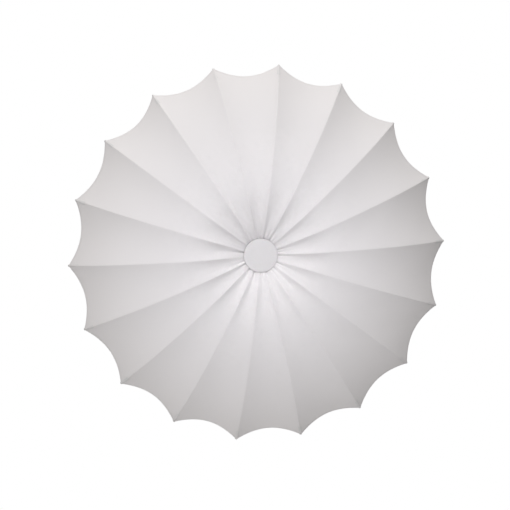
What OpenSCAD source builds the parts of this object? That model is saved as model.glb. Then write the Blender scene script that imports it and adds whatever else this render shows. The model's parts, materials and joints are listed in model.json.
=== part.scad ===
// White umbrella reflector: a scalloped fabric dome on curved ribs that fold back along a straight shaft.
// The origin is at the shaft's free end. The shaft runs along Y, and the dome's front faces -Y.
// The hub parts are drawn in a hub frame: its z = 0 is the plane of the rib hinges, and its +z points
// out of the dome's front. A rib is drawn in the hub frame's x-z plane, and at_rib() turns it into place.

/* [Canopy] */
// Radius of the circle through the rib tips
span_r = 425; // [405:1:440]
// Radius of the crest, the ring where the dome stands furthest forward
crest_r = 149; // [140:1:160]
// Slope of the ribs where they leave the crown
root_slope = 38; // [36:1:39]
// Slope of the ribs at the rim
rim_slope = 48; // [46:1:50]
// Radius at the middle of a scalloped edge, as a share of the tip radius
scallop = 0.933; // [0.91:0.001:0.97]
// Sag of the fabric between two ribs, as a share of half the gap between them
gore_sag = 0.15; // [0:0.01:0.2]
// Thickness of the fabric
fabric_t = 0.8; // [0.5:0.1:1]
// Gap between neighbouring fabric pieces, and between the fabric and what it lies on
fabric_gap = 0.3; // [0.2:0.05:0.4]

/* [Shaft and hub] */
// Distance from the rib hinges to the shaft's free end
shaft_reach = 760; // [750:1:780]
// Outer radius of the shaft
shaft_r = 4; // [3.9:0.05:4.1]
// Wall thickness of the shaft
shaft_wall = 0.8; // [0.7:0.05:0.9]
// Radius of the round cap on the front
cap_r = 37.5; // [34:0.5:40]
// Thickness of the cap's disc
cap_t = 3; // [2:0.5:4]
// Radius of the crown and of the runner's head
hub_r = 23; // [22.5:0.5:24]
// Radius of the two wire rings that the ribs and stretchers hinge on
hinge_r = 18; // [18:0.1:18.5]
// Length of the runner's sleeve
sleeve_l = 24; // [20:1:30]

/* [Ribs and stretchers] */
// Number of ribs
rib_count = 18; // [16:2:18]
// Radius of a rib's rod
rod_r = 1.75; // [1.5:0.05:1.75]
// Radius of a stretcher's rod
stretcher_r = 1.5; // [1.2:0.05:1.5]
// Radius, from the shaft's axis, at which a stretcher's bracket sits on its rib
bracket_r = 346; // [344:1:350]
// Distance from a rib's centre line in to its stretcher's pivot
bracket_drop = 12; // [11:0.5:13]
// Angle that the ribs fold through
fold_angle = 70; // [60:1:70]

/* [Hidden] */
$fn = 96;
small_fn = 40;
pitch = 360 / rib_count;
half_pitch = pitch / 2;

// rib centre line: a straight root, an arc up to the crest, and an arc down to the rim
root_end_r = 45;
inner_arc = (crest_r - root_end_r) / sin(root_slope);
outer_arc = (span_r - crest_r) / sin(rim_slope);
crest_z = (root_end_r - hinge_r) * tan(root_slope) + inner_arc * (1 - cos(root_slope));
bracket_slope = asin((bracket_r - crest_r) / outer_arc);
bracket_z = crest_z - outer_arc * (1 - cos(bracket_slope));

// linkage: rib hinge, stretcher pivot and runner hinge make a triangle with two equal sides
pivot_x = bracket_r - bracket_drop * sin(bracket_slope);
pivot_z = bracket_z - bracket_drop * cos(bracket_slope);
link_l = norm([pivot_x - hinge_r, pivot_z]);
link_slope = -atan2(pivot_z, pivot_x - hinge_r);
runner_open = -2 * pivot_z;
runner_folded = 2 * link_l * sin(fold_angle + link_slope);

// hinge wires, eyes and the slots that hold them
wire_r = 0.9;
tunnel_gap = 0.05;
eye_bore_r = 1.0;
eye_r = 2.6;
eye_w = 3.2;
slot_w = 3.8;
slot_in_r = 13.5;
slot_floor = 6.6;
hub_rim = 8;
hub_open = 6;
cut = 1;
press_gap = 0.05;
running_gap = 0.06;

// rib fittings
ferrule_from = 13;
ferrule_grip = 3;
ferrule_r = 2.3;
splice_r = rod_r + 0.1;
splice_l = 3;
splice_inset = 0.25;
clip_r = 2.3;
clip_l = 14;
ear_r = 3.2;
ear_t = 0.9;
ear_gap = 0.1;
pivot_eye_w = 3;
pivot_eye_r = 3;
rivet_r = 1.2;
rivet_head_r = 2;
rivet_head_t = 0.6;
tip_r = 2.4;
tip_l = 9;

// canopy: the fabric's outer face stands this far off the rib centre lines
fabric_off = clip_r + 2 * fabric_gap + fabric_t;
fabric_in_r = 10;
fabric_tip_r = span_r - 3.5;
fabric_floor = hub_rim + fabric_gap + fabric_t;
stations = 21;
across = 4;
scallop_power = 6;

// cap
cap_back = (cap_r - hinge_r) * tan(root_slope) + fabric_off / cos(root_slope) + fabric_gap;
cap_boss_r = fabric_in_r - 2 * fabric_gap;
cap_stem_r = shaft_r - shaft_wall - press_gap;
cap_stem_l = 16;

// runner and its end stop on the shaft
sleeve_r = 8;
collar_r = 13;
collar_t = 3;
runner_back = hub_open + sleeve_l;
bead_gap = 1;
bead_l = 3;
bead_r = 4.6;
bead_at = runner_folded + runner_back + bead_gap;

// spring catch
catch_play = 1;
catch_from = runner_open + 16;
catch_to = runner_open + runner_back + 14;
catch_in = 1.5;
catch_t = 0.7;
catch_w = 1.8;
tooth_from = runner_open + runner_back + catch_play;
tooth_l = 8;
tooth_rise = shaft_r + 1.6;
catch_slot_w = 2.6;
catch_root_r = 0.7;

// plug
plug_l = 3;
plug_stem_l = 12;
plug_r = shaft_r - 0.6;

function numbered(name) =
    [for (k = [1 : rib_count]) str(name, k < 10 ? "_0" : "_", k)];

// the hub frame, with the shaft along its z axis
module at_hub() {
    translate([0, -shaft_reach, 0]) rotate([90, 0, 0]) children();
}

// the hub frame turned so that its x axis points along rib k
module at_rib(k) {
    translate([0, -shaft_reach, 0]) rotate([90, k * pitch - 90, 0]) children();
}

// a cylinder along y, centred on the x-z plane
module cross_pin(r, w) {
    rotate([90, 0, 0]) cylinder(r = r, h = w, center = true, $fn = small_fn);
}

// a rod along x from a to b
module rod(r, a, b) {
    translate([a, 0, 0]) rotate([0, 90, 0]) cylinder(r = r, h = b - a, $fn = small_fn);
}

// a rod along an arc in the x-z plane, from angle a through sweep, counted from x towards z
module bent_rod(arc_r, r, a, sweep) {
    rotate([90, 0, 0]) rotate([0, 0, a]) rotate_extrude(angle = sweep, $fn = 2 * $fn)
        translate([arc_r, 0]) circle(r = r, $fn = small_fn);
}

// radial slots for the eyes, open towards +z
module hinge_slots() {
    for (k = [0 : rib_count - 1])
        rotate([0, 0, 90 + k * pitch])
            translate([slot_in_r, -slot_w / 2, -slot_floor])
                cube([hub_r, slot_w, slot_floor + hub_open + cut]);
}

// the wire that all the eyes on one hub hinge on, moulded into the hub
module hinge_wire() {
    rotate_extrude() translate([hinge_r, 0]) circle(r = wire_r, $fn = small_fn);
}

module shaft() {
    color("silver") at_hub() difference() {
        union() {
            translate([0, 0, -shaft_reach]) cylinder(r = shaft_r, h = shaft_reach + hub_rim);
            translate([0, 0, -bead_at - bead_l]) cylinder(r = bead_r, h = bead_l);
        }
        translate([0, 0, -shaft_reach - cut])
            cylinder(r = shaft_r - shaft_wall, h = shaft_reach + hub_rim + 2 * cut);
        rotate([0, 0, 90]) translate([0, -catch_slot_w / 2, -tooth_from - tooth_l - catch_play])
            cube([2 * shaft_r, catch_slot_w, tooth_l + 2 * catch_play]);
    }
}

module shaft_plug() {
    color("black") at_hub() union() {
        translate([0, 0, -shaft_reach - plug_l]) cylinder(r = plug_r, h = plug_l);
        translate([0, 0, -shaft_reach - press_gap])
            cylinder(r = cap_stem_r, h = plug_stem_l);
    }
}

module crown() {
    color("gainsboro") at_hub() {
        mirror([0, 0, 1]) difference() {
            translate([0, 0, -hub_rim]) cylinder(r = hub_r, h = hub_rim + hub_open);
            translate([0, 0, -hub_rim - cut])
                cylinder(r = shaft_r + press_gap, h = hub_rim + hub_open + 2 * cut);
            hinge_slots();
        }
        hinge_wire();
    }
}

module front_cap() {
    edge_r = cap_t / 2;
    color("white") at_hub() union() {
        translate([0, 0, cap_back]) cylinder(r = cap_r - edge_r, h = cap_t);
        translate([0, 0, cap_back + edge_r]) rotate_extrude()
            translate([cap_r - edge_r, 0]) circle(r = edge_r, $fn = small_fn);
        translate([0, 0, hub_rim + fabric_gap])
            cylinder(r = cap_boss_r, h = cap_back - hub_rim - fabric_gap + edge_r);
        translate([0, 0, hub_rim - cap_stem_l])
            cylinder(r = cap_stem_r, h = cap_stem_l + fabric_floor);
    }
}

module runner() {
    color("gainsboro") at_hub() translate([0, 0, -runner_open]) {
        difference() {
            union() {
                translate([0, 0, -hub_open]) cylinder(r = hub_r, h = hub_open + slot_floor);
                translate([0, 0, -runner_back]) cylinder(r = sleeve_r, h = runner_back);
                translate([0, 0, -runner_back]) cylinder(r = collar_r, h = collar_t);
            }
            translate([0, 0, -runner_back - cut])
                cylinder(r = shaft_r + running_gap, h = runner_back + hub_open + 2 * cut);
            hinge_slots();
        }
        hinge_wire();
    }
}

// a leaf inside the shaft, with a rolled root and a tooth that stands out behind the open runner
module spring_catch() {
    color("silver") at_rib(0) union() {
        translate([catch_in + catch_t / 2, 0, -catch_from]) cross_pin(catch_root_r, catch_w);
        translate([catch_in, -catch_w / 2, -catch_to])
            cube([catch_t, catch_w, catch_to - catch_from]);
        rotate([90, 0, 0]) linear_extrude(catch_w, center = true) polygon([
            [catch_in + catch_t / 2, -tooth_from],
            [tooth_rise, -tooth_from],
            [catch_in + catch_t / 2, -tooth_from - tooth_l]
        ]);
    }
}

// the eye, tang and ferrule that the rib's rod is set in
module rib_root() {
    tang_h = 2 * rod_r;
    root_run = (root_end_r - hinge_r) / cos(root_slope);
    rotate([0, -root_slope, 0]) difference() {
        union() {
            cross_pin(eye_r, eye_w);
            translate([0, -eye_w / 2, -tang_h / 2]) cube([ferrule_from + cut, eye_w, tang_h]);
            rod(ferrule_r, ferrule_from, root_run + ferrule_grip);
        }
        cross_pin(eye_bore_r, eye_w + 2 * cut);
    }
}

// two bent stretches, which a short splice joins at the crest
module rib_rod() {
    tip_slope = asin((span_r - tip_r - crest_r) / outer_arc);
    inner_inset = splice_inset / inner_arc * 180 / PI;
    outer_inset = splice_inset / outer_arc * 180 / PI;
    union() {
        translate([crest_r, 0, crest_z - inner_arc])
            bent_rod(inner_arc, rod_r, 90 + inner_inset, root_slope - inner_inset);
        translate([crest_r, 0, crest_z - outer_arc])
            bent_rod(outer_arc, rod_r, 90 - tip_slope, tip_slope - outer_inset);
        translate([crest_r, 0, crest_z]) rod(splice_r, -splice_l / 2, splice_l / 2);
    }
}

// a clip round the rod, with two ears that hold the stretcher's rivet
module bracket() {
    ear_y = pivot_eye_w / 2 + ear_gap;
    translate([bracket_r, 0, bracket_z]) rotate([0, bracket_slope, 0]) {
        rod(clip_r, -clip_l / 2, clip_l / 2);
        for (side = [-1, 1])
            translate([0, side * (ear_y + ear_t / 2), 0]) {
                translate([-ear_r, -ear_t / 2, -bracket_drop])
                    cube([2 * ear_r, ear_t, bracket_drop]);
                translate([0, 0, -bracket_drop]) cross_pin(ear_r, ear_t);
                translate([0, side * rivet_head_t, -bracket_drop])
                    cross_pin(rivet_head_r, ear_t);
            }
        translate([0, 0, -bracket_drop]) cross_pin(rivet_r, 2 * ear_y + ear_t);
    }
}

// a round-ended cap over the rod's tip
module rib_tip() {
    tip_slope = asin((span_r - tip_r - crest_r) / outer_arc);
    translate([span_r - tip_r, 0, crest_z - outer_arc * (1 - cos(tip_slope))])
        rotate([0, tip_slope, 0]) {
            rod(tip_r, tip_r - tip_l, 0);
            sphere(r = tip_r, $fn = small_fn);
        }
}

module rib(k) {
    color("whitesmoke") at_rib(k) union() {
        translate([hinge_r, 0, 0]) rib_root();
        rib_rod();
        bracket();
        rib_tip();
    }
}

module stretcher(k) {
    color("silver") at_rib(k) translate([hinge_r, 0, -runner_open])
        rotate([0, -link_slope, 0]) difference() {
            union() {
                cross_pin(eye_r, eye_w);
                rod(stretcher_r, 0, link_l);
                translate([link_l, 0, 0]) cross_pin(pivot_eye_r, pivot_eye_w);
            }
            cross_pin(eye_bore_r, eye_w + 2 * cut);
            translate([link_l, 0, 0])
                cross_pin(rivet_r + tunnel_gap, pivot_eye_w + 2 * cut);
        }
}

// slope of the dome at radius r, positive where it falls towards the rim
function dome_slope(r) =
    r > crest_r ? asin((r - crest_r) / outer_arc)
    : -min(root_slope, asin((crest_r - r) / inner_arc));

// height at radius r of a face that stands off the rib centre lines by off
function dome_z(r, off) =
    r > crest_r
        ? crest_z - outer_arc + sqrt(pow(outer_arc + off, 2) - pow(r - crest_r, 2))
    : r > root_end_r - off * sin(root_slope)
        ? crest_z - inner_arc + sqrt(pow(inner_arc + off, 2) - pow(crest_r - r, 2))
    : (r - hinge_r) * tan(root_slope) + off / cos(root_slope);

// radius of the fabric's middle line between two ribs, for the rib point at radius r
function middle_r(r) =
    r * (cos(half_pitch) - (cos(half_pitch) - scallop) * pow(r / span_r, scallop_power));

// the fabric's outer face in a rib's plane frame: u is 0 on the rib and 1 on the middle line
function fabric_point(r, u) =
    let (
        m = middle_r(r),
        w = m * sin(half_pitch),
        drop = r - m * cos(half_pitch),
        bend = w * tan(half_pitch) - drop,
        top = dome_z(r, fabric_off),
        low = dome_z(m / cos(half_pitch), fabric_off) - gore_sag * w,
        v = abs(u),
        z = top - (top - low) * (2 * v - v * v)
    )
    [
        r - (drop - bend) * v - bend * v * v,
        u * (w - fabric_gap / 2),
        r < crest_r ? max(z, fabric_floor) : z
    ];

// the same point on the inner face
function lining_point(r, u) =
    let (p = fabric_point(r, u), s = p[2] == fabric_floor ? 0 : dome_slope(p[0]))
    p - fabric_t * [sin(s), 0, cos(s)];

module canopy_panel(k) {
    row = across + 1;
    skin = stations * row;
    grid = [
        for (i = [0 : stations - 1], j = [0 : across])
        [
            fabric_in_r + (fabric_tip_r - fabric_in_r) * i / (stations - 1),
            2 * j / across - 1
        ]
    ];
    points = concat(
        [for (g = grid) fabric_point(g[0], g[1])],
        [for (g = grid) lining_point(g[0], g[1])]
    );
    function cell(a, b, c, d) = [[c, b, a], [d, c, a]];
    faces = [
        for (i = [0 : stations - 2], j = [0 : across - 1])
        let (a = i * row + j)
        for (f = concat(
            cell(a, a + row, a + row + 1, a + 1),
            cell(skin + a, skin + a + 1, skin + a + row + 1, skin + a + row)
        )) f,
        for (i = [0 : stations - 2])
        let (a = i * row, b = a + across)
        for (f = concat(
            cell(a, skin + a, skin + a + row, a + row),
            cell(b, b + row, skin + b + row, skin + b)
        )) f,
        for (j = [0 : across - 1])
        let (a = j, b = (stations - 1) * row + j)
        for (f = concat(
            cell(a, a + 1, skin + a + 1, skin + a),
            cell(b, skin + b, skin + b + 1, b + 1)
        )) f
    ];
    color("white") at_rib(k) polyhedron(points = points, faces = faces);
}

shaft();
shaft_plug();
crown();
front_cap();
runner();
spring_catch();
for (k = [0 : rib_count - 1]) {
    rib(k);
    stretcher(k);
    canopy_panel(k);
}
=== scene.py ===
"""White umbrella reflector: the visual model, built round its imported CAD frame.

The frame's rib hinges lie in the plane y = -REACH. A rib's own coordinates are its radius from
the shaft, its sideways distance, counted towards the next rib, and its depth in front of the hinge
plane.
"""

import json
import math

import bpy
import numpy as np
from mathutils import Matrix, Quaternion, Vector


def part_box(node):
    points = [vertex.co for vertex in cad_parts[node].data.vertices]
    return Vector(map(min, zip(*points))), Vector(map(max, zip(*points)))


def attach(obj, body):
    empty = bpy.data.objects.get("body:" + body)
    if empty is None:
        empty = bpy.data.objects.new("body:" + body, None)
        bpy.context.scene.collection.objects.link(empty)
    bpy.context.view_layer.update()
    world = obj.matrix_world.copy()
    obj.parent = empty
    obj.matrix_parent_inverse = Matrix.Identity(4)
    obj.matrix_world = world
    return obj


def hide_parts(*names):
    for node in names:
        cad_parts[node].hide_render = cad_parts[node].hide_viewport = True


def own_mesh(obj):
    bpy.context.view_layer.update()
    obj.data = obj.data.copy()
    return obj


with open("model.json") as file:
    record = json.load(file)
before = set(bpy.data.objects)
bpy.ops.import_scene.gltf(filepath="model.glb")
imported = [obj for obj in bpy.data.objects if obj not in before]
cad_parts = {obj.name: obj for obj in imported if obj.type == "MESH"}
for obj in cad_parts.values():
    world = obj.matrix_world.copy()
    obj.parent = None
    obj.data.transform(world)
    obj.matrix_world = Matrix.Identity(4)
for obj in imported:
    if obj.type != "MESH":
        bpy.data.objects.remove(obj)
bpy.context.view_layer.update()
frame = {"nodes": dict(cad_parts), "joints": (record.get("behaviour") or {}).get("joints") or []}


def hinge_point(name):
    """Where the frame has a joint."""
    return next(j["pos_m"] for j in frame["joints"] if j["name"] == name)


# ---------------------------------------------------------------- the dome, in metres
RIBS = 18
PITCH = 2 * math.pi / RIBS
HALF = PITCH / 2
_, hinge_y, HINGE_R = hinge_point("rib_01_fold")
REACH = -hinge_y
# a rib runs straight out of its hinge, up an arc to the crest, and down a longer arc to its tip
SPAN_R = 0.425
CREST_R = 0.149
ROOT_END_R = 0.045
ROOT_SLOPE = math.radians(38)
RIM_SLOPE = math.radians(48)
INNER_ARC = (CREST_R - ROOT_END_R) / math.sin(ROOT_SLOPE)
OUTER_ARC = (SPAN_R - CREST_R) / math.sin(RIM_SLOPE)
CREST_Z = (ROOT_END_R - HINGE_R) * math.tan(ROOT_SLOPE) + INNER_ARC * (
    1 - math.cos(ROOT_SLOPE)
)
BRACKET_R = 0.346
TIP_R = 0.0024
# the cloth stands off the ribs' centre lines, and its edge curves in between their tips
FABRIC_OFF = 0.0033
FABRIC_FLOOR = 0.0088
FABRIC_IN_R = 0.026
FABRIC_TIP_R = 0.4243
SCALLOP = 0.933
SCALLOP_POWER = 6
# where a strip's middle part ends beside its rib, at the crest, and how it narrows outwards
SEAM_SIDE = 0.021
SEAM_LEAN = 0.03
# half the width of the rounding over a rib, near the cap and far out
RIDGE_ROUND = (0.0005, 0.0013)
RIDGE_FROM_R = 0.05
RIDGE_OVER = 0.1
# how the cloth puffs up round the cap that presses on it
CAP_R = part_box("front_cap")[1].x
SWELL = 0.0018
SWELL_STEP = (-0.0002, 0.0008)
SWELL_FADE = 0.010
# sag between two ribs, as shares of half their gap
SAG = 0.135
SAG_GATHERED = 0.28
SAG_GATHERED_R = 0.092
SAG_GATHERED_WIDE = (0.032, 0.046)
SAG_OUTER = 0.11
SAG_OUTER_FROM = 0.21
SAG_OUTER_OVER = 0.2
# how much the gores differ
GORE_SCALLOP = (-0.004, 0.004)
GORE_SAG = (0.92, 1.08)
# the small folds that the cap gathers
CREASES_PER_GORE = 3
CREASE_SPREAD = (-0.36, 0.36)
CREASE_DEEP = (0.0012, 0.0029)
CREASE_LONG = (0.035, 0.100)
CREASE_WIDE = (0.0012, 0.0022)
CREASE_FROM_R = 0.030
CREASE_WIDENS = 0.060
CREASE_FADE = 1.5
# slow waves of the stretched cloth: how many go round the dome, and how long each is outwards
WAVES = ((5, 0.21), (11, 0.13), (23, 0.09))
WAVE_PHASES = 6
WAVE_TALL = 0.0003
WAVE_FROM_R = 0.06
WAVE_OVER = 0.1

rng = np.random.default_rng(18)


def rib_number(k):
    """The rib's number as the frame writes it."""
    return f"{k + 1:02d}"


def rib_axes(k):
    """Unit vectors outwards along rib k, and sideways towards the next rib."""
    a = k * PITCH
    return (
        np.array([math.sin(a), 0, math.cos(a)]),
        np.array([math.cos(a), 0, -math.sin(a)]),
    )


def to_world(k, r, side, depth):
    """Points in rib k's coordinates, as arrays of one shape, in the row frame."""
    out, along = rib_axes(k)
    r, side, depth = np.broadcast_arrays(r, side, depth)
    p = r[..., None] * out + side[..., None] * along
    p[..., 1] = -REACH - depth
    return p


def dome_z(r, off=FABRIC_OFF):
    """Depth of a face that stands off the rib centre lines by off, above radius r."""
    r = np.asarray(r, float)
    fall = np.clip(r - CREST_R, 0, None)
    rise = np.clip(CREST_R - r, 0, CREST_R - ROOT_END_R)
    outer = CREST_Z - OUTER_ARC + np.sqrt((OUTER_ARC + off) ** 2 - fall**2)
    inner = CREST_Z - INNER_ARC + np.sqrt((INNER_ARC + off) ** 2 - rise**2)
    root = (r - HINGE_R) * math.tan(ROOT_SLOPE) + off / math.cos(ROOT_SLOPE)
    straight = r < ROOT_END_R - off * math.sin(ROOT_SLOPE)
    return np.where(r > CREST_R, outer, np.where(straight, root, inner))


def dome_slope(r):
    """Slope of the rib centre line at radius r, positive where it falls towards the rim."""
    outer = np.arcsin(np.clip((r - CREST_R) / OUTER_ARC, 0, 1))
    inner = np.minimum(ROOT_SLOPE, np.arcsin(np.clip((CREST_R - r) / INNER_ARC, 0, 1)))
    return np.where(r > CREST_R, outer, -inner)


gore_scallop = SCALLOP + rng.uniform(*GORE_SCALLOP, RIBS)
gore_sag = rng.uniform(*GORE_SAG, RIBS)
crease_at = rng.uniform(*CREASE_SPREAD, (RIBS, CREASES_PER_GORE))
crease_deep = rng.uniform(*CREASE_DEEP, (RIBS, CREASES_PER_GORE))
crease_long = rng.uniform(*CREASE_LONG, (RIBS, CREASES_PER_GORE))
crease_wide = rng.uniform(*CREASE_WIDE, (RIBS, CREASES_PER_GORE))
wave_phase = rng.uniform(0, 2 * math.pi, WAVE_PHASES)


def sag_share(r):
    """Sag as a share of half the gap between two ribs: deepest where the cap gathers the cloth."""
    inside, outside = SAG_GATHERED_WIDE
    wide = np.where(r < SAG_GATHERED_R, inside, outside)
    gathered = SAG_GATHERED * np.exp(-(((r - SAG_GATHERED_R) / wide) ** 2))
    return SAG + gathered + SAG_OUTER * np.clip((r - SAG_OUTER_FROM) / SAG_OUTER_OVER, 0, 1)


def cap_swell(r):
    """Height of the cloth's swelling at a radius."""
    first, full = SWELL_STEP
    t = np.clip((r - CAP_R - first) / (full - first), 0, 1)
    fade = np.exp(-np.clip(r - CAP_R - full, 0, None) / SWELL_FADE)
    return SWELL * t * t * (3 - 2 * t) * fade


def creases(r, theta):
    """Depth of the small folds that the cap gathers, at a radius and an angle round the shaft."""
    depth = np.zeros(np.broadcast(r, theta).shape)
    for g in range(RIBS):
        for c in range(CREASES_PER_GORE):
            centre = (g + 0.5 + crease_at[g, c]) * PITCH
            off = (theta - centre + math.pi) % (2 * math.pi) - math.pi
            past = r - CREASE_FROM_R
            fade = np.clip(1 - past / crease_long[g, c], 0, 1) ** CREASE_FADE
            width = crease_wide[g, c] * (1 + past / CREASE_WIDENS)
            depth += crease_deep[g, c] * fade * np.exp(-((r * off / width) ** 2))
    return depth


def unevenness(r, theta):
    """Height of the slow waves, which are the same for the two strips that meet at a place."""
    height = np.zeros(np.broadcast(r, theta).shape)
    for n, (turns, length) in enumerate(WAVES):
        phase = turns * theta + wave_phase[n] + r / length * 2 * math.pi
        height += np.sin(phase) / (n + 1)
    return WAVE_TALL * height * np.clip((r - WAVE_FROM_R) / WAVE_OVER, 0, 1)


# ---------------------------------------------------------------- the canopy's grid
MIDDLE_COLUMNS = 10
SIDE_COLUMNS = 8
COLUMNS = MIDDLE_COLUMNS + SIDE_COLUMNS
ROUND = 2 * COLUMNS * RIBS
NEAR_POWER = 1.4
# where each zone of stations ends, and how many it has; the open one ends where the sides begin
STATION_ZONES = (
    (0.0365, 4),
    (0.0400, 10),
    (0.060, 10),
    (None, 14),
    (0.380, 62),
    (FABRIC_TIP_R, 13),
)
# the hem's rows: how far past the edge, and how far behind it
HEM_ROWS = ((0.0006, 0.0005), (0.0004, 0.0011), (-0.0024, 0.0012), (-0.0050, 0.0009))


def half_width(r, gore):
    """Half the gap between the ribs at station r, and the radius of the gap's middle."""
    share = math.cos(HALF) - (math.cos(HALF) - gore_scallop[gore]) * (
        r / SPAN_R
    ) ** SCALLOP_POWER
    return r * share * math.sin(HALF), r * share


def seam_side(r):
    """How far beside the rib a strip's middle part ends, so that the folded strips just meet."""
    return SEAM_SIDE - SEAM_LEAN * (r - CREST_R)


def station_radii():
    """Stations along a rib, closer together where the cloth is gathered and where it bends."""
    first_side = (SEAM_SIDE + SEAM_LEAN * CREST_R) / (
        math.sin(HALF) * math.cos(HALF) + SEAM_LEAN
    )
    zones, start = [], FABRIC_IN_R
    for end, count in STATION_ZONES:
        end = first_side if end is None else end
        zones.append(np.linspace(start, end, count)[:-1])
        start = end
    return np.append(np.concatenate(zones), start)


def half_gore(r, k, sign):
    """One station of the cloth beside rib k, from the rib to the gore's middle: its points, and
    the share of the way at which the side part begins."""
    gore = k if sign > 0 else (k - 1) % RIBS
    w, m = half_width(r, gore)
    drop = r - m * math.cos(HALF)
    bend = w * math.tan(HALF) - drop
    edge = min(1.0, seam_side(r) / w)
    if edge > 1 - 1e-6:
        edge = 1.0
    near = np.linspace(0, 1, MIDDLE_COLUMNS + 1) ** NEAR_POWER * edge
    far = np.linspace(edge, 1, SIDE_COLUMNS + 1)[1:]
    v = np.concatenate([near, far])
    top = float(dome_z(r))
    low = float(dome_z(m / math.cos(HALF))) - gore_sag[gore] * sag_share(r) * w
    near_cap, far_out = RIDGE_ROUND
    share = min(1.0, max(0.0, (r - RIDGE_FROM_R) / RIDGE_OVER))
    soft = (near_cap + (far_out - near_cap) * share) / w
    u = (np.sqrt(v * v + soft * soft) - soft) / (math.sqrt(1 + soft * soft) - soft)
    z = top - (top - low) * (2 * u - u * u)
    x = r - (drop - bend) * v - bend * v * v
    s = sign * v * w
    theta = k * PITCH + np.arctan2(s, x)
    radius = np.hypot(x, s)
    z = z - creases(radius, theta) + unevenness(radius, theta) + cap_swell(radius)
    if r < CREST_R:
        z = np.maximum(z, FABRIC_FLOOR)
    return to_world(k, x, s, z), edge


radii = station_radii()
rows = len(radii) + len(HEM_ROWS)
grid = np.zeros((rows, ROUND, 3))
collapsed = np.zeros((rows, RIBS, 2), bool)
for k in range(RIBS):
    for sign in (1, -1):
        for i, r in enumerate(radii):
            points, edge = half_gore(r, k, sign)
            columns = (2 * COLUMNS * k + sign * np.arange(COLUMNS + 1)) % ROUND
            grid[i, columns] = points
            collapsed[i, k, 0 if sign > 0 else 1] = edge >= 1

# the hem: the cloth's edge turned over and sewn down inside
last = len(radii) - 1
outward = grid[last] - grid[last - 1]
outward /= np.linalg.norm(outward, axis=1)[:, None]
round_rim = np.roll(grid[last], -1, 0) - np.roll(grid[last], 1, 0)
front = np.cross(outward, round_rim)
front /= np.linalg.norm(front, axis=1)[:, None]
front *= np.where(front[:, 1:2] > 0, -1, 1)
for i, (past, behind) in enumerate(HEM_ROWS):
    grid[last + 1 + i] = grid[last] + outward * past - front * behind

# one index for each grid point; columns of a side part that hasn't begun share the middle's one
index = np.arange(rows * ROUND).reshape(rows, ROUND)
for k in range(RIBS):
    for which, sign in ((0, 1), (1, -1)):
        for i in range(rows):
            if i < len(radii) and collapsed[i, k, which]:
                middle = (2 * COLUMNS * k + sign * COLUMNS) % ROUND
                own = (
                    2 * COLUMNS * k + sign * np.arange(MIDDLE_COLUMNS, COLUMNS)
                ) % ROUND
                index[i, own] = index[i, middle]
flat_points = grid.reshape(-1, 3)

# distances over the cloth, which its weave and its stitches are laid out by
run = np.zeros((rows, ROUND))
run[1:] = np.cumsum(np.linalg.norm(np.diff(grid, axis=0), axis=2), axis=0)
from_rim = run[last] - run


def cells(columns):
    """The faces between these neighbouring columns, with the ones of no width left out."""
    faces = []
    for i in range(rows - 1):
        for c in columns:
            d = (c + 1) % ROUND
            corners = [index[i, c], index[i + 1, c], index[i + 1, d], index[i, d]]
            kept = [p for n, p in enumerate(corners) if p != corners[n - 1]]
            if len(set(kept)) >= 3:
                faces.append(kept)
    return faces


def smooth_normals(faces):
    """One normal for each grid point, from all the faces round it."""
    total = np.zeros_like(flat_points)
    for size in (3, 4):
        f = np.array([x for x in faces if len(x) == size])
        if len(f) == 0:
            continue
        across = flat_points[f[:, 2]] - flat_points[f[:, 0]]
        other = flat_points[f[:, -1]] - flat_points[f[:, 1]]
        n = np.cross(across, other)
        for corner in range(size):
            np.add.at(total, f[:, corner], n)
    length = np.linalg.norm(total, axis=1)
    return total / np.where(length > 0, length, 1)[:, None]


all_faces = cells(range(ROUND))
normals = smooth_normals(all_faces)


# ---------------------------------------------------------------- materials
def new_material(name):
    mat = bpy.data.materials.new(name)
    mat.use_nodes = True
    nodes = mat.node_tree.nodes
    nodes.clear()
    out = nodes.new("ShaderNodeOutputMaterial")
    return mat, mat.node_tree, out


def add(tree, kind, values=None, **settings):
    """A node with its settings, and its inputs set to values or linked to sockets."""
    n = tree.nodes.new(kind)
    for key, value in settings.items():
        setattr(n, key, value)
    for key, value in (values or {}).items():
        if isinstance(value, bpy.types.NodeSocket):
            tree.links.new(value, n.inputs[key])
        else:
            n.inputs[key].default_value = value
    return n


def math_node(tree, operation, a, b=0.0, c=0.0):
    return add(
        tree, "ShaderNodeMath", {0: a, 1: b, 2: c}, operation=operation
    ).outputs[0]


def mix_colour(tree, factor, a, b, blend="MIX"):
    n = add(tree, "ShaderNodeMix", data_type="RGBA", blend_type=blend)
    for i, value in ((0, factor), (6, a), (7, b)):
        if isinstance(value, bpy.types.NodeSocket):
            tree.links.new(value, n.inputs[i])
        else:
            n.inputs[i].default_value = value
    return n.outputs[2]


def rgba(r, g, b):
    return (r, g, b, 1.0)


def object_noise(tree, scale, detail=3.0, stretch=(1, 1, 1)):
    where = add(tree, "ShaderNodeTexCoord").outputs["Object"]
    moved = add(tree, "ShaderNodeMapping", {"Vector": where, "Scale": stretch})
    return add(
        tree,
        "ShaderNodeTexNoise",
        {"Vector": moved.outputs[0], "Scale": scale, "Detail": detail},
    ).outputs["Fac"]


def ranged(tree, value, low, high, start=0.0, end=1.0):
    """Goes from low to high as value goes from start to end."""
    limits = {"From Min": start, "From Max": end, "To Min": low, "To Max": high}
    return add(tree, "ShaderNodeMapRange", {"Value": value, **limits}).outputs[0]


def weighted(tree, a, share_a, b, share_b):
    """a times its share plus b times its share."""
    return math_node(
        tree, "MULTIPLY_ADD", a, share_a, math_node(tree, "MULTIPLY", b, share_b)
    )


def sine(tree, value, length):
    """A sine wave of this length along value."""
    return math_node(
        tree, "SINE", math_node(tree, "MULTIPLY", value, 2 * math.pi / length)
    )


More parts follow.
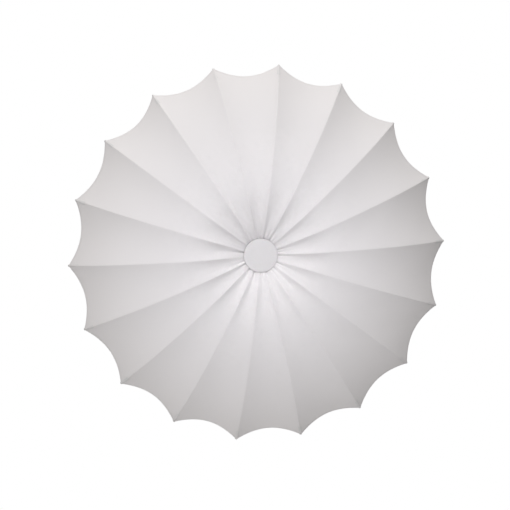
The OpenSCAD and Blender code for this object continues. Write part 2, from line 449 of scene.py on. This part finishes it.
def bumped(tree, height, strength, distance):
    return add(
        tree,
        "ShaderNodeBump",
        {"Height": height, "Strength": strength, "Distance": distance},
    ).outputs[0]


# the knit, and noise scales for its density and its fibres
WALE = 0.0011
COURSE = 0.0009
DENSITY = 9.0
FIBRES = 900.0
KNIT_BUMP = 0.00022
# the row of stitches: how far in from the edge, half its width, and a stitch with its gap
STITCH_IN = 0.0042
STITCH_HALF = 0.00045
STITCH_LONG = 0.0032
STITCH_PULL = -1.2
STITCH_RISE = 0.9
STITCH_GAP = -0.4
# painted shade in the groove that the stitch row presses in: how strong it is, and its grey
GROOVE_SHADE_SHARE = 0.08
GROOVE_SHADE_GREY = rgba(0.45, 0.44, 0.44)
# the cloth is a little warmer far out, by distance along it
WARM_FROM = 0.15
WARM_TO = 0.42
WARM_TINT = rgba(0.995, 0.985, 0.955)
THROUGH = 0.05


def cloth_material(name, light, dark, sewn=True):
    """A matt stretch knit: wales and courses, uneven density, and a row of stitches at the hem,
    whose groove is darkened with painted shade.
    """
    mat, tree, out = new_material(name)
    weave = add(tree, "ShaderNodeUVMap", uv_map="Cloth").outputs[0]
    across, along, _ = add(
        tree, "ShaderNodeSeparateXYZ", {"Vector": weave}
    ).outputs
    knit = math_node(
        tree, "MULTIPLY", sine(tree, across, WALE), sine(tree, along, COURSE)
    )
    density = object_noise(tree, DENSITY, 4.0)
    fibre = object_noise(tree, FIBRES, 2.0)
    colour = mix_colour(tree, weighted(tree, fibre, 0.35, density, 0.65), dark, light)
    height = weighted(tree, fibre, 0.6, knit, 0.5)
    if sewn:
        outer = ranged(tree, along, 0.0, 1.0, WARM_FROM, WARM_TO)
        warm = mix_colour(tree, outer, rgba(1, 1, 1), WARM_TINT)
        colour = mix_colour(tree, 1.0, colour, warm, blend="MULTIPLY")
        edge = add(tree, "ShaderNodeUVMap", uv_map="Edge").outputs[0]
        inset, rim, _ = add(tree, "ShaderNodeSeparateXYZ", {"Vector": edge}).outputs
        away = math_node(
            tree, "ABSOLUTE", math_node(tree, "SUBTRACT", inset, STITCH_IN)
        )
        row = ranged(tree, away, 1.0, 0.0, 0.0, 2 * STITCH_HALF)
        dash = math_node(
            tree, "GREATER_THAN", sine(tree, rim, STITCH_LONG), STITCH_GAP
        )
        stitch = math_node(tree, "MULTIPLY", row, dash)
        height = math_node(tree, "MULTIPLY_ADD", row, STITCH_PULL, height)
        height = math_node(tree, "MULTIPLY_ADD", stitch, STITCH_RISE, height)
        # painted shade: the whole stitched groove is mixed toward grey
        shade = math_node(tree, "MULTIPLY", row, GROOVE_SHADE_SHARE)
        colour = mix_colour(tree, shade, colour, GROOVE_SHADE_GREY)
    bump = bumped(tree, height, 0.35, KNIT_BUMP)
    face = add(
        tree,
        "ShaderNodeBsdfPrincipled",
        {
            "Base Color": colour,
            "Roughness": ranged(tree, density, 0.82, 0.95),
            "Normal": bump,
            "Specular IOR Level": 0.15,
            "Sheen Weight": 0.15,
            "Sheen Roughness": 0.5,
        },
    )
    glow = add(
        tree, "ShaderNodeBsdfTranslucent", {"Color": colour, "Normal": bump}
    )
    mixed = add(tree, "ShaderNodeMixShader", {0: THROUGH})
    tree.links.new(face.outputs[0], mixed.inputs[1])
    tree.links.new(glow.outputs[0], mixed.inputs[2])
    tree.links.new(mixed.outputs[0], out.inputs["Surface"])
    return mat


# noise scale of the mottling on hard materials
MOTTLE = 35.0


def hard_material(
    name, light, dark, rough, metal=0.0, grain=400.0, depth=0.00006, stretch=(1, 1, 1)
):
    """Plastic, metal or glass fibre: mottled colour and roughness, and a fine grain."""
    mat, tree, out = new_material(name)
    fine = object_noise(tree, grain, 3.0, stretch)
    mottle = object_noise(tree, MOTTLE, 5.0)
    face = add(
        tree,
        "ShaderNodeBsdfPrincipled",
        {
            "Base Color": mix_colour(tree, mottle, dark, light),
            "Metallic": metal,
            "Roughness": ranged(tree, weighted(tree, fine, 0.4, mottle, 0.6), *rough),
            "Normal": bumped(tree, fine, 0.4, depth),
        },
    )
    tree.links.new(face.outputs[0], out.inputs["Surface"])
    return mat


fabric = cloth_material(
    "stretch_knit", rgba(0.875, 0.850, 0.870), rgba(0.845, 0.821, 0.840)
)
pocket_cloth = cloth_material(
    "pocket_web", rgba(0.82, 0.81, 0.80), rgba(0.76, 0.75, 0.74), sewn=False
)
thread = hard_material(
    "tie_thread", rgba(0.80, 0.79, 0.77), rgba(0.68, 0.67, 0.65), (0.75, 0.95), grain=1500
)
steel_tube = hard_material(
    "brushed_tube",
    rgba(0.70, 0.70, 0.71),
    rgba(0.60, 0.60, 0.61),
    (0.22, 0.38),
    metal=1.0,
    grain=700.0,
    depth=0.00003,
    stretch=(1, 0.04, 1),
)
nickel = hard_material(
    "nickel_fittings",
    rgba(0.72, 0.71, 0.69),
    rgba(0.58, 0.57, 0.55),
    (0.25, 0.45),
    metal=1.0,
    grain=600.0,
)
spring_steel = hard_material(
    "blued_spring",
    rgba(0.42, 0.43, 0.46),
    rgba(0.30, 0.31, 0.35),
    (0.28, 0.45),
    metal=1.0,
    grain=500.0,
)
black_plastic = hard_material(
    "black_plug", rgba(0.030, 0.030, 0.032), rgba(0.018, 0.018, 0.020), (0.45, 0.65)
)
hub_plastic = hard_material(
    "moulded_hub", rgba(0.80, 0.80, 0.79), rgba(0.74, 0.74, 0.73), (0.38, 0.55)
)
glass_fibre = hard_material(
    "glass_fibre",
    rgba(0.86, 0.86, 0.83),
    rgba(0.78, 0.78, 0.74),
    (0.25, 0.42),
    grain=900.0,
    depth=0.00004,
)
tip_plastic = hard_material(
    "tip_cap", rgba(0.70, 0.68, 0.65), rgba(0.60, 0.58, 0.55), (0.35, 0.55)
)
cap_cover = hard_material(
    "cap_cover",
    rgba(0.750, 0.733, 0.752),
    rgba(0.725, 0.708, 0.727),
    (0.80, 0.95),
    grain=1100.0,
    depth=0.0001,
)


# ---------------------------------------------------------------- pieces
def make_piece(name, points, faces, material, body, shade=None, maps=None):
    """A smooth mesh piece on a body. shade gives each point's normal, and maps its UV layers."""
    mesh = bpy.data.meshes.new(name)
    mesh.from_pydata([tuple(p) for p in points], [], [list(map(int, f)) for f in faces])
    mesh.polygons.foreach_set("use_smooth", [True] * len(mesh.polygons))
    corners = np.zeros(len(mesh.loops), int)
    mesh.loops.foreach_get("vertex_index", corners)
    for layer, uv in (maps or {}).items():
        mesh.uv_layers.new(name=layer).data.foreach_set(
            "uv", np.asarray(uv, float)[corners].ravel()
        )
    if shade is not None:
        mesh.normals_split_custom_set_from_vertices([tuple(n) for n in shade])
    mesh.materials.append(material)
    mesh.update()
    obj = bpy.data.objects.new(name, mesh)
    bpy.context.scene.collection.objects.link(obj)
    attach(obj, body)
    return obj


def mesh_area(points, faces):
    total = 0.0
    for f in faces:
        p = points[f]
        for n in range(1, len(f) - 1):
            total += np.linalg.norm(np.cross(p[n] - p[0], p[n + 1] - p[0])) / 2
    return float(total)


def canopy_piece(k, part, columns, side):
    """The part of rib k's strip of cloth between these columns, with its share of the hem."""
    faces = cells(columns)
    used = sorted({p for f in faces for p in f})
    place = {p: n for n, p in enumerate(used)}
    points = flat_points[used]
    out, along = rib_axes(k)
    across = points @ along
    cloth = np.stack([across, run.ravel()[used]], 1)
    rim = np.stack([from_rim.ravel()[used], across], 1)
    name = f"canopy_{rib_number(k)}_{part}"
    obj = make_piece(
        name,
        points,
        [[place[p] for p in f] for f in faces],
        fabric,
        f"rib_{rib_number(k)}",
        normals[used],
        {"Cloth": cloth, "Edge": rim},
    )
    if side:
        anchor = to_world(k, np.array(CREST_R), np.array(side * SEAM_SIDE), np.array(0.0))
        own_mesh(obj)
    return obj


for k in range(RIBS):
    ridge = 2 * COLUMNS * k
    middle = [(ridge + c) % ROUND for c in range(-MIDDLE_COLUMNS, MIDDLE_COLUMNS)]
    right = [(ridge + c) % ROUND for c in range(MIDDLE_COLUMNS, COLUMNS)]
    left = [(ridge + c) % ROUND for c in range(-COLUMNS, -MIDDLE_COLUMNS)]
    for part, columns, side in (
        ("middle", middle, 0),
        ("right", right, 1),
        ("left", left, -1),
    ):
        piece = canopy_piece(k, part, columns, side)
        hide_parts(f"canopy_panel_{rib_number(k)}")


# ---------------------------------------------------------------- ties and pockets on the ribs
def rib_point(r):
    """Depth and slope of the rib's centre line at radius r."""
    return float(dome_z(r, 0.0)), float(dome_slope(r))


def rib_frame(k, r):
    """The place on rib k's centre line at radius r, and the ways outwards along it and off it."""
    out, _ = rib_axes(k)
    front = np.array([0.0, -1.0, 0.0])
    depth, slope = rib_point(r)
    centre = to_world(k, np.array(r), np.array(0.0), np.array(depth))
    outwards = math.cos(slope) * out - math.sin(slope) * front
    up = math.sin(slope) * out + math.cos(slope) * front
    return centre, outwards, up


def tube_faces(rings, sides, closed):
    """Quads between neighbouring rings of points. closed joins the last ring to the first."""
    faces = []
    for i in range(rings if closed else rings - 1):
        for j in range(sides):
            a, b = i * sides, (i + 1) % rings * sides
            n = (j + 1) % sides
            faces.append([a + j, a + n, b + n, b + j])
    return faces


TIE_RADII = (0.085, 0.200, 0.262, 0.385)
TIE_STRAY = 0.002
TIE_LEAN = 0.0005
TIE_THREAD = 0.00022
TIE_RISE = 0.0005
TIE_TALL = 0.0025
TIE_WIDE = 0.0022
TIE_TURNS = (-0.0007, 0.0, 0.0006)
TIE_RINGS = 20
TIE_SIDES = 6


def rib_ties(k):
    """Loops of thread that tie the cloth to the rib."""
    _, along = rib_axes(k)
    points, faces = [], []
    for r in TIE_RADII:
        centre, outwards, up = rib_frame(k, r + rng.uniform(-TIE_STRAY, TIE_STRAY))
        for turn in TIE_TURNS:
            lean = rng.uniform(-TIE_LEAN, TIE_LEAN)
            start = len(points)
            for i in range(TIE_RINGS):
                a = 2 * math.pi * i / TIE_RINGS
                ray = math.cos(a) * up + math.sin(a) * along
                middle = centre + outwards * (turn + lean * math.cos(a)) + up * TIE_RISE
                middle = middle + up * TIE_TALL * math.cos(a) + along * TIE_WIDE * math.sin(a)
                for j in range(TIE_SIDES):
                    b = 2 * math.pi * j / TIE_SIDES
                    off = math.cos(b) * ray + math.sin(b) * outwards
                    points.append(middle + TIE_THREAD * off)
            ring_faces = tube_faces(TIE_RINGS, TIE_SIDES, True)
            faces += [[start + p for p in f] for f in ring_faces]
    name = rib_number(k)
    make_piece(f"rib_ties_{name}", points, faces, thread, f"rib_{name}")


POCKET_FROM = 0.4005
POCKET_TO = 0.4226
POCKET_ROWS = 12
POCKET_SIDES = 20
POCKET_WIDE = (0.0046, 0.0029)
POCKET_TALL = (0.0029, 0.0027)
POCKET_TURNED = ((0.0004, -0.0002), (0.0, -0.0005), (-0.0016, -0.0006))
POCKET_PUCKER = 0.03


def tip_pocket(k):
    """The little cloth sleeve under the hem that the rib's tip sits in, its outer end turned in."""
    _, along = rib_axes(k)
    stations = [(r, 0.0, 0.0) for r in np.linspace(POCKET_FROM, POCKET_TO, POCKET_ROWS)]
    stations += [(POCKET_TO, past, thin) for past, thin in POCKET_TURNED]
    points, cloth = [], []
    phase = rng.uniform(0, 2 * math.pi)
    for r, past, thin in stations:
        share = (r - POCKET_FROM) / (POCKET_TO - POCKET_FROM)
        centre, outwards, up = rib_frame(k, r)
        wide = POCKET_WIDE[0] + (POCKET_WIDE[1] - POCKET_WIDE[0]) * share + thin
        tall = POCKET_TALL[0] + (POCKET_TALL[1] - POCKET_TALL[0]) * share + thin
        for j in range(POCKET_SIDES):
            a = 2 * math.pi * j / POCKET_SIDES
            pucker = 1 + POCKET_PUCKER * math.sin(3 * a + phase + 5 * share)
            points.append(
                centre
                + outwards * past
                + along * wide * pucker * math.sin(a)
                + up * tall * math.cos(a)
            )
            cloth.append((a * (wide + tall) / 2, r + past))
    faces = tube_faces(len(stations), POCKET_SIDES, False)
    name = rib_number(k)
    piece = make_piece(
        f"tip_pocket_{name}",
        points,
        faces,
        pocket_cloth,
        f"rib_{name}",
        maps={"Cloth": cloth},
    )
    area = mesh_area(np.array(points), faces)
    length = (POCKET_TO - POCKET_FROM) / math.cos(rib_point(POCKET_FROM)[1])


for k in range(RIBS):
    rib_ties(k)
    tip_pocket(k)


# ---------------------------------------------------------------- the CAD nodes' materials
def paint(node, *materials, pick=None):
    """Gives a CAD node its materials. pick says which one each face has, from its corners."""
    mesh = frame["nodes"][node].data
    mesh.materials.clear()
    for material in materials:
        mesh.materials.append(material)
    chosen = np.zeros(len(mesh.polygons), np.int32)
    if pick is not None:
        points = np.zeros(len(mesh.vertices) * 3)
        mesh.vertices.foreach_get("co", points)
        points = points.reshape(-1, 3)
        for n, face in enumerate(mesh.polygons):
            chosen[n] = pick(points[list(face.vertices)])
    mesh.polygons.foreach_set("material_index", chosen)


# a little more than the hinge wire's radius
WIRE_NEAR = 0.00096


def on_wire(plane):
    """Picks the second material on the hinge wire in this plane."""

    def pick(corners):
        off = np.hypot(np.hypot(corners[:, 0], corners[:, 2]) - HINGE_R, corners[:, 1] - plane)
        return int(np.all(off < WIRE_NEAR))

    return pick


# how far the fittings reach along the rib: the ferrule from the hinge, the clip each way from its
# middle, and the tip cap inwards from the centre of its rounded end
FERRULE_END = (ROOT_END_R - HINGE_R) / math.cos(ROOT_SLOPE) + 0.0031
CLIP_HALF = 0.00705
TIP_CAP = 0.0067


def on_rib(k):
    """Picks metal for the root ferrule and the stretcher's clip, and plastic for the tip cap."""
    out, _ = rib_axes(k)
    clip_z, clip_slope = rib_point(BRACKET_R)
    tip_r = SPAN_R - TIP_R
    tip_z, tip_slope = rib_point(tip_r)

    def pick(corners):
        r = corners @ out
        z = -corners[:, 1] - REACH
        root = (r - HINGE_R) * math.cos(ROOT_SLOPE) + z * math.sin(ROOT_SLOPE)
        clip = (r - BRACKET_R) * math.cos(clip_slope) - (z - clip_z) * math.sin(clip_slope)
        tip = (r - tip_r) * math.cos(tip_slope) - (z - tip_z) * math.sin(tip_slope)
        if np.all(root < FERRULE_END) or np.all(np.abs(clip) < CLIP_HALF):
            return 1
        return 2 if np.all(tip > -TIP_CAP) else 0

    return pick


paint("shaft", steel_tube)
paint("shaft_plug", black_plastic)
paint("crown", hub_plastic, nickel, pick=on_wire(-REACH))
paint("runner", hub_plastic, nickel, pick=on_wire(hinge_point("runner_travel")[1]))
paint("front_cap", cap_cover)
paint("spring_catch", spring_steel)
for k in range(RIBS):
    paint(f"rib_{rib_number(k)}", glass_fibre, nickel, tip_plastic, pick=on_rib(k))
    paint(f"stretcher_{rib_number(k)}", nickel)


# ---------------------------------------------------------------- camera
CAMERA_AZIMUTH = math.radians(-5.4)
CAMERA_ELEVATION = math.radians(3.4)
CAMERA_ROLL = math.radians(6.5)
CAMERA_DISTANCE = 4.5
# half the width that the picture takes in at the object
FRAME_HALF = 0.5735
# the camera aims at the shaft's line, this far behind the hinge plane, and then a little aside
RIM_PLANE = 0.064
AIM_LEFT = 0.0053
AIM_DOWN = 0.0045
SENSOR = 36.0

camera = bpy.data.objects.new("camera", bpy.data.cameras.new("camera"))
bpy.context.scene.collection.objects.link(camera)
camera.data.sensor_width = SENSOR
camera.data.lens = SENSOR / 2 * CAMERA_DISTANCE / FRAME_HALF
camera.data.clip_end = 60
back = Vector(
    (
        math.sin(CAMERA_AZIMUTH) * math.cos(CAMERA_ELEVATION),
        -math.cos(CAMERA_AZIMUTH) * math.cos(CAMERA_ELEVATION),
        math.sin(CAMERA_ELEVATION),
    )
)
turn = (-back).to_track_quat("-Z", "Y") @ Quaternion((0, 0, 1), CAMERA_ROLL)
aim = Vector((0, -REACH + RIM_PLANE, 0))
aim -= turn @ Vector((AIM_LEFT, AIM_DOWN, 0))
camera.rotation_mode = "QUATERNION"
camera.rotation_quaternion = turn
camera.location = aim + back * CAMERA_DISTANCE
bpy.context.scene.camera = camera

# ---------------------------------------------------------------- floor, light and background
FLOOR_Z = -1.35
FLOOR_Y = -0.4
FLOOR_R = 3.0
FLOOR_FADE = (0.35, 0.98)


def soft_floor():
    """A pale round floor that fades out towards its edge, so that it never ends in a line."""
    mat, tree, out = new_material("pale_floor")
    where = add(tree, "ShaderNodeTexCoord").outputs["Object"]
    far = add(tree, "ShaderNodeVectorMath", {0: where}, operation="LENGTH").outputs[1]
    fade = add(
        tree,
        "ShaderNodeMapRange",
        {
            "Value": far,
            "From Min": FLOOR_FADE[0] * FLOOR_R,
            "From Max": FLOOR_FADE[1] * FLOOR_R,
        },
        interpolation_type="SMOOTHSTEP",
    ).outputs[0]
    pale = mix_colour(
        tree, object_noise(tree, 3.0), rgba(0.86, 0.86, 0.86), rgba(0.9, 0.9, 0.9)
    )
    matt = add(tree, "ShaderNodeBsdfDiffuse", {"Color": pale})
    clear = add(tree, "ShaderNodeBsdfTransparent")
    mixed = add(tree, "ShaderNodeMixShader", {0: fade})
    tree.links.new(matt.outputs[0], mixed.inputs[1])
    tree.links.new(clear.outputs[0], mixed.inputs[2])
    tree.links.new(mixed.outputs[0], out.inputs["Surface"])
    bpy.ops.mesh.primitive_circle_add(
        vertices=96, radius=FLOOR_R, fill_type="NGON", location=(0, FLOOR_Y, FLOOR_Z)
    )
    floor = bpy.context.object
    floor.name = "floor"
    floor.data.materials.append(mat)


soft_floor()

# the world is white where the camera sees it, and lights the object only this much
WORLD_LIGHT = 0.14
world = bpy.data.worlds.new("white_studio")
bpy.context.scene.world = world
world.use_nodes = True
sky = world.node_tree
sky.nodes.clear()
seen = add(sky, "ShaderNodeLightPath").outputs["Is Camera Ray"]
strength = ranged(sky, seen, WORLD_LIGHT, 1.0)
backdrop = add(
    sky, "ShaderNodeBackground", {"Color": rgba(1, 1, 1), "Strength": strength}
)
sky_out = add(sky, "ShaderNodeOutputWorld")
sky.links.new(backdrop.outputs[0], sky_out.inputs["Surface"])
bpy.context.scene.view_settings.view_transform = "Standard"


def soft_light(name, place, target, size, energy, spread=None):
    """A round area light at a place, turned to a target. spread narrows its beam."""
    data = bpy.data.lights.new(name, "AREA")
    data.shape = "DISK"
    data.size = size
    data.energy = energy
    if spread is not None:
        data.spread = spread
    lamp = bpy.data.objects.new(name, data)
    bpy.context.scene.collection.objects.link(lamp)
    lamp.location = place
    lamp.rotation_mode = "QUATERNION"
    lamp.rotation_quaternion = (Vector(target) - Vector(place)).to_track_quat("-Z", "Y")


DOME_CENTRE = (0, -REACH, 0)
UNDER_CAP = (0, -REACH, -0.02)

soft_light("key", (-0.76, -4.65, 2.40), DOME_CENTRE, size=1.2, energy=161)
soft_light("back", (1.1, 2.4, 1.0), DOME_CENTRE, size=1.8, energy=60)
soft_light("overhead", (0, 1.0, 2.8), (0, 1.0, FLOOR_Z), size=2.4, energy=40)
soft_light(
    "centre", (-0.35, -2.6, 1.75), UNDER_CAP, size=0.25, energy=0.028, spread=math.radians(6.5)
)
